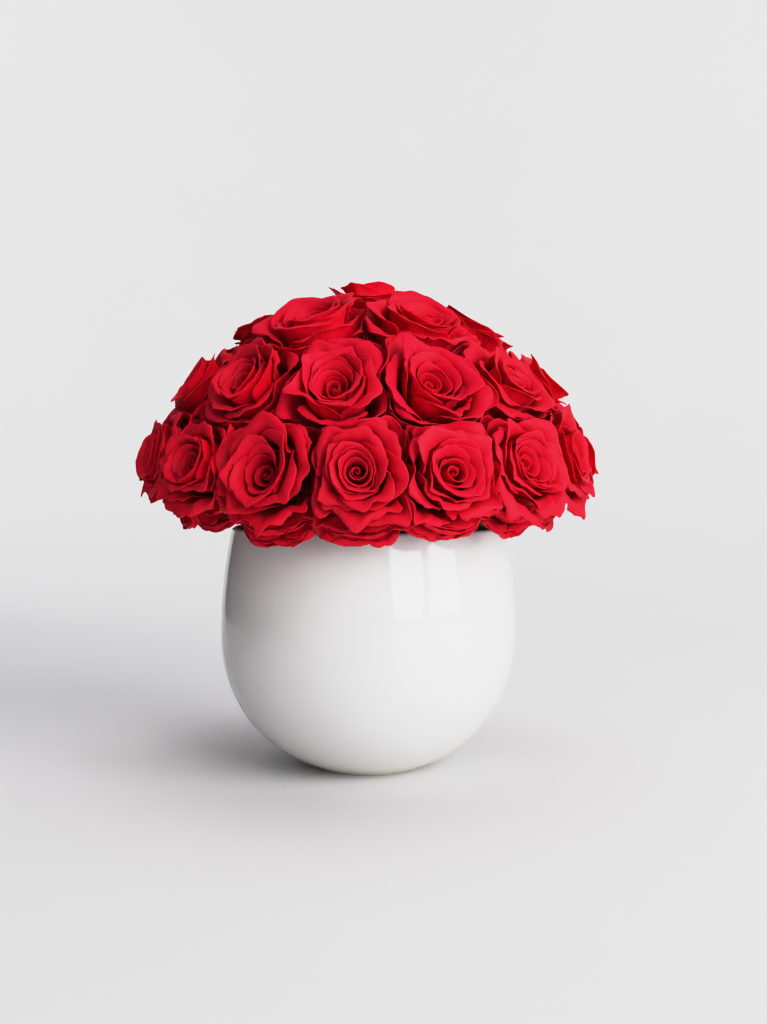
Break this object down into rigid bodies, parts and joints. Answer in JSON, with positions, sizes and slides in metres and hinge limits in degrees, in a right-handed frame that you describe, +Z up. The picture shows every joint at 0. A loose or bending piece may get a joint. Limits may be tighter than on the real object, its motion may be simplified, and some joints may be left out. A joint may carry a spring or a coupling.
{
  "type": "rose dome in a round vase",
  "caption": "Half-ball of preserved red roses on picks in foam, standing in a round glazed bowl vase; each rose pulls out and the bouquet lifts out.",
  "frame": {"origin": "centre of the vase's foot, on the surface that it stands on", "axes": "+Z up along the vase's axis; the front of the arrangement faces -Y; +X is to the right seen from the front"},
  "size_m": [0.2808, 0.283, 0.291],
  "materials": {
    "glaze": "gloss",
    "foot": "matte",
    "foam": "matte",
    "bamboo": "satin",
    "petals": "satin",
    "calyx": "matte",
    "pick": "satin"
  },
  "bodies": {
    "vase_body": {"vase": "glaze"},
    "bouquet": {"foam_plug": "foam", "foam_dome": "foam", "foam_pegs": "bamboo"},
    "rose_01_body": {"rose_01": "petals"},
    "rose_02_body": {"rose_02": "petals"},
    "rose_03_body": {"rose_03": "petals"},
    "rose_04_body": {"rose_04": "petals"},
    "rose_05_body": {"rose_05": "petals"},
    "rose_06_body": {"rose_06": "petals"},
    "rose_07_body": {"rose_07": "petals"},
    "rose_08_body": {"rose_08": "petals"},
    "rose_09_body": {"rose_09": "petals"},
    "rose_10_body": {"rose_10": "petals"},
    "rose_11_body": {"rose_11": "petals"},
    "rose_12_body": {"rose_12": "petals"},
    "rose_13_body": {"rose_13": "petals"},
    "rose_14_body": {"rose_14": "petals"},
    "rose_15_body": {"rose_15": "petals"},
    "rose_16_body": {"rose_16": "petals"},
    "rose_17_body": {"rose_17": "petals"},
    "rose_18_body": {"rose_18": "petals"},
    "rose_19_body": {"rose_19": "petals"},
    "rose_20_body": {"rose_20": "petals"},
    "rose_21_body": {"rose_21": "petals"},
    "rose_22_body": {"rose_22": "petals"},
    "rose_23_body": {"rose_23": "petals"},
    "rose_24_body": {"rose_24": "petals"},
    "rose_25_body": {"rose_25": "petals"},
    "rose_26_body": {"rose_26": "petals"},
    "rose_27_body": {"rose_27": "petals"},
    "rose_28_body": {"rose_28": "petals"},
    "rose_29_body": {"rose_29": "petals"},
    "rose_30_body": {"rose_30": "petals"},
    "rose_31_body": {"rose_31": "petals"},
    "rose_32_body": {"rose_32": "petals"},
    "rose_33_body": {"rose_33": "petals"},
    "rose_34_body": {"rose_34": "petals"},
    "rose_35_body": {"rose_35": "petals"}
  },
  "joints": [
    {"name": "bouquet_lift", "type": "slide", "parent": "vase_body", "child": "bouquet", "axis": [0, 0, 1], "range_m": [0, 0.15]},
    {"name": "rose_01_pull", "type": "slide", "parent": "bouquet", "child": "rose_01_body", "axis": [-0.0477, -0.9755, 0.2149], "range_m": [0, 0.045]},
    {"name": "rose_02_pull", "type": "slide", "parent": "bouquet", "child": "rose_02_body", "axis": [0.3286, -0.9177, 0.2234], "range_m": [0, 0.045]},
    {"name": "rose_03_pull", "type": "slide", "parent": "bouquet", "child": "rose_03_body", "axis": [0.6505, -0.7174, 0.2492], "range_m": [0, 0.045]},
    {"name": "rose_04_pull", "type": "slide", "parent": "bouquet", "child": "rose_04_body", "axis": [0.8687, -0.4106, 0.2769], "range_m": [0, 0.045]},
    {"name": "rose_05_pull", "type": "slide", "parent": "bouquet", "child": "rose_05_body", "axis": [0.9557, -0.0467, 0.2905], "range_m": [0, 0.045]},
    {"name": "rose_06_pull", "type": "slide", "parent": "bouquet", "child": "rose_06_body", "axis": [0.9032, 0.3234, 0.2822], "range_m": [0, 0.045]},
    {"name": "rose_07_pull", "type": "slide", "parent": "bouquet", "child": "rose_07_body", "axis": [0.716, 0.6492, 0.2566], "range_m": [0, 0.045]},
    {"name": "rose_08_pull", "type": "slide", "parent": "bouquet", "child": "rose_08_body", "axis": [0.416, 0.8801, 0.2287], "range_m": [0, 0.045]},
    {"name": "rose_09_pull", "type": "slide", "parent": "bouquet", "child": "rose_09_body", "axis": [0.0477, 0.9755, 0.2149], "range_m": [0, 0.045]},
    {"name": "rose_10_pull", "type": "slide", "parent": "bouquet", "child": "rose_10_body", "axis": [-0.3286, 0.9177, 0.2234], "range_m": [0, 0.045]},
    {"name": "rose_11_pull", "type": "slide", "parent": "bouquet", "child": "rose_11_body", "axis": [-0.6505, 0.7174, 0.2492], "range_m": [0, 0.045]},
    {"name": "rose_12_pull", "type": "slide", "parent": "bouquet", "child": "rose_12_body", "axis": [-0.8687, 0.4106, 0.2769], "range_m": [0, 0.045]},
    {"name": "rose_13_pull", "type": "slide", "parent": "bouquet", "child": "rose_13_body", "axis": [-0.9557, 0.0467, 0.2905], "range_m": [0, 0.045]},
    {"name": "rose_14_pull", "type": "slide", "parent": "bouquet", "child": "rose_14_body", "axis": [-0.9032, -0.3234, 0.2822], "range_m": [0, 0.045]},
    {"name": "rose_15_pull", "type": "slide", "parent": "bouquet", "child": "rose_15_body", "axis": [-0.716, -0.6492, 0.2566], "range_m": [0, 0.045]},
    {"name": "rose_16_pull", "type": "slide", "parent": "bouquet", "child": "rose_16_body", "axis": [-0.416, -0.8801, 0.2287], "range_m": [0, 0.045]},
    {"name": "rose_17_pull", "type": "slide", "parent": "bouquet", "child": "rose_17_body", "axis": [-0.1445, -0.7953, 0.5887], "range_m": [0, 0.045]},
    {"name": "rose_18_pull", "type": "slide", "parent": "bouquet", "child": "rose_18_body", "axis": [0.2719, -0.7595, 0.591], "range_m": [0, 0.045]},
    {"name": "rose_19_pull", "type": "slide", "parent": "bouquet", "child": "rose_19_body", "axis": [0.6078, -0.5154, 0.6041], "range_m": [0, 0.045]},
    {"name": "rose_20_pull", "type": "slide", "parent": "bouquet", "child": "rose_20_body", "axis": [0.776, -0.141, 0.6148], "range_m": [0, 0.045]},
    {"name": "rose_21_pull", "type": "slide", "parent": "bouquet", "child": "rose_21_body", "axis": [0.7442, 0.2665, 0.6125], "range_m": [0, 0.045]},
    {"name": "rose_22_pull", "type": "slide", "parent": "bouquet", "child": "rose_22_body", "axis": [0.5177, 0.6104, 0.5995], "range_m": [0, 0.045]},
    {"name": "rose_23_pull", "type": "slide", "parent": "bouquet", "child": "rose_23_body", "axis": [0.1445, 0.7953, 0.5887], "range_m": [0, 0.045]},
    {"name": "rose_24_pull", "type": "slide", "parent": "bouquet", "child": "rose_24_body", "axis": [-0.2719, 0.7595, 0.591], "range_m": [0, 0.045]},
    {"name": "rose_25_pull", "type": "slide", "parent": "bouquet", "child": "rose_25_body", "axis": [-0.6078, 0.5154, 0.6041], "range_m": [0, 0.045]},
    {"name": "rose_26_pull", "type": "slide", "parent": "bouquet", "child": "rose_26_body", "axis": [-0.776, 0.141, 0.6148], "range_m": [0, 0.045]},
    {"name": "rose_27_pull", "type": "slide", "parent": "bouquet", "child": "rose_27_body", "axis": [-0.7442, -0.2665, 0.6125], "range_m": [0, 0.045]},
    {"name": "rose_28_pull", "type": "slide", "parent": "bouquet", "child": "rose_28_body", "axis": [-0.5177, -0.6104, 0.5995], "range_m": [0, 0.045]},
    {"name": "rose_29_pull", "type": "slide", "parent": "bouquet", "child": "rose_29_body", "axis": [-0.2458, -0.409, 0.8788], "range_m": [0, 0.045]},
    {"name": "rose_30_pull", "type": "slide", "parent": "bouquet", "child": "rose_30_body", "axis": [0.2313, -0.4173, 0.8788], "range_m": [0, 0.045]},
    {"name": "rose_31_pull", "type": "slide", "parent": "bouquet", "child": "rose_31_body", "axis": [0.4771, -0.0083, 0.8788], "range_m": [0, 0.045]},
    {"name": "rose_32_pull", "type": "slide", "parent": "bouquet", "child": "rose_32_body", "axis": [0.2458, 0.409, 0.8788], "range_m": [0, 0.045]},
    {"name": "rose_33_pull", "type": "slide", "parent": "bouquet", "child": "rose_33_body", "axis": [-0.2313, 0.4173, 0.8788], "range_m": [0, 0.045]},
    {"name": "rose_34_pull", "type": "slide", "parent": "bouquet", "child": "rose_34_body", "axis": [-0.4771, 0.0083, 0.8788], "range_m": [0, 0.045]},
    {"name": "rose_35_pull", "type": "slide", "parent": "bouquet", "child": "rose_35_body", "axis": [0, 0, 1], "range_m": [0, 0.045]}
  ]
}
